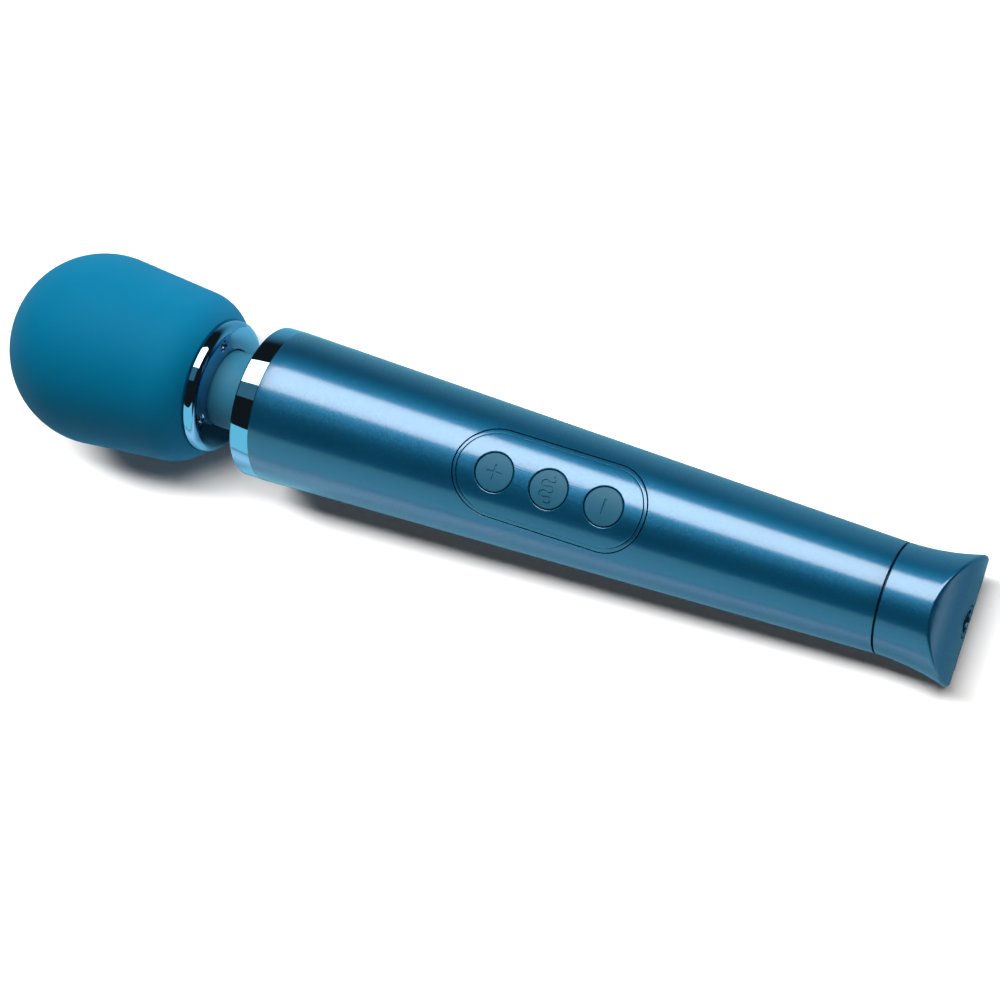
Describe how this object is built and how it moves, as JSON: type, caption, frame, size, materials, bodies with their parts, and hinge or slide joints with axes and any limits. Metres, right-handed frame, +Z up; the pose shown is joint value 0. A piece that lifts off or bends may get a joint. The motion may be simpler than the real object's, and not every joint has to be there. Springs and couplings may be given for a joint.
{
  "type": "handheld wand massager",
  "caption": "Cordless handheld wand massager: soft bulb head on a flexible neck, tapered metallic handle with push buttons, and a flared tail with a charging socket.",
  "frame": {"origin": "middle of the bounding box, on the surface that the wand lies on", "axes": "+X from the head towards the tail, +Z up with the buttons facing up, +Y across the wand"},
  "size_m": [0.25, 0.048, 0.048],
  "materials": {
    "soft_silicone": "matte silicone",
    "neck_silicone": "matte silicone",
    "teal_plating": "polished teal plating on plastic",
    "flake_paint": "metallic blue paint, satin",
    "button_soft_touch": "matte soft touch",
    "black_plastic": "matte",
    "white_nylon": "moulded nylon",
    "black_rubber": "matte",
    "steel": "satin",
    "socket_metal": "satin",
    "magnet": "sintered",
    "copper": "satin",
    "board": "solder mask",
    "cell_wrap": "shrink wrap",
    "lead_jacket": "insulated wire"
  },
  "bodies": {
    "handle": {"handle_ring": "teal_plating", "neck_clamp": "white_nylon", "neck_screws": "steel", "handle_shell": "flake_paint", "panel_bezel": "flake_paint", "control_panel": "flake_paint", "switches": "black_plastic", "circuit_board": "board", "board_screws": "steel", "board_parts": "black_plastic", "chassis": "white_nylon", "battery_cell": "cell_wrap", "battery_tabs": "steel", "battery_leads": "lead_jacket", "drive_leads": "lead_jacket", "tail_cap": "flake_paint", "tail_seal": "black_rubber", "charge_jack": "black_plastic", "jack_bush": "socket_metal", "jack_pin": "steel", "jack_leads": "lead_jacket"},
    "neck": {"neck_core": "black_rubber", "neck_sleeve": "neck_silicone", "neck_leads": "lead_jacket"},
    "head": {"head_cover": "soft_silicone", "head_dome": "white_nylon", "head_cup": "white_nylon", "head_collar": "teal_plating", "collar_screws": "steel", "motor_cradle": "white_nylon", "motor_can": "steel", "motor_end_bell": "black_plastic", "motor_magnets": "magnet", "motor_bushings": "copper", "motor_leads": "lead_jacket"},
    "rotor": {"motor_shaft": "steel", "armature": "copper", "commutator": "copper", "eccentric_weight": "steel"},
    "plus": {"button_plus": "button_soft_touch", "plunger_plus": "black_plastic"},
    "mode": {"button_mode": "button_soft_touch", "plunger_mode": "black_plastic"},
    "minus": {"button_minus": "button_soft_touch", "plunger_minus": "black_plastic"}
  },
  "joints": [
    {"name": "neck_yaw", "type": "hinge", "parent": "handle", "child": "neck", "pos_m": [-0.06002, 0, 0.02215], "axis": [0.0444, 0, 0.999], "range_deg": [-15, 15], "stiffness_Nm_per_rad": 2, "deforming": ["neck_core", "neck_sleeve", "neck_leads"]},
    {"name": "neck_pitch", "type": "hinge", "parent": "neck", "child": "head", "pos_m": [-0.06002, 0, 0.02215], "axis": [0, 1, 0], "range_deg": [-15, 15], "stiffness_Nm_per_rad": 2, "deforming": ["neck_core", "neck_sleeve", "neck_leads"]},
    {"name": "motor_spin", "type": "hinge", "parent": "head", "child": "rotor", "pos_m": [-0.10621, 0, 0.0242], "axis": [0.999, 0, -0.0444], "continuous": true},
    {"name": "plus_press", "type": "slide", "parent": "handle", "child": "plus", "axis": [-0.0801, 0, -0.9968], "range_m": [0, 0.0006], "stiffness_N_per_m": 2000},
    {"name": "mode_press", "type": "slide", "parent": "handle", "child": "mode", "axis": [-0.0801, 0, -0.9968], "range_m": [0, 0.0006], "stiffness_N_per_m": 2000},
    {"name": "minus_press", "type": "slide", "parent": "handle", "child": "minus", "axis": [-0.0801, 0, -0.9968], "range_m": [0, 0.0006], "stiffness_N_per_m": 2000}
  ]
}
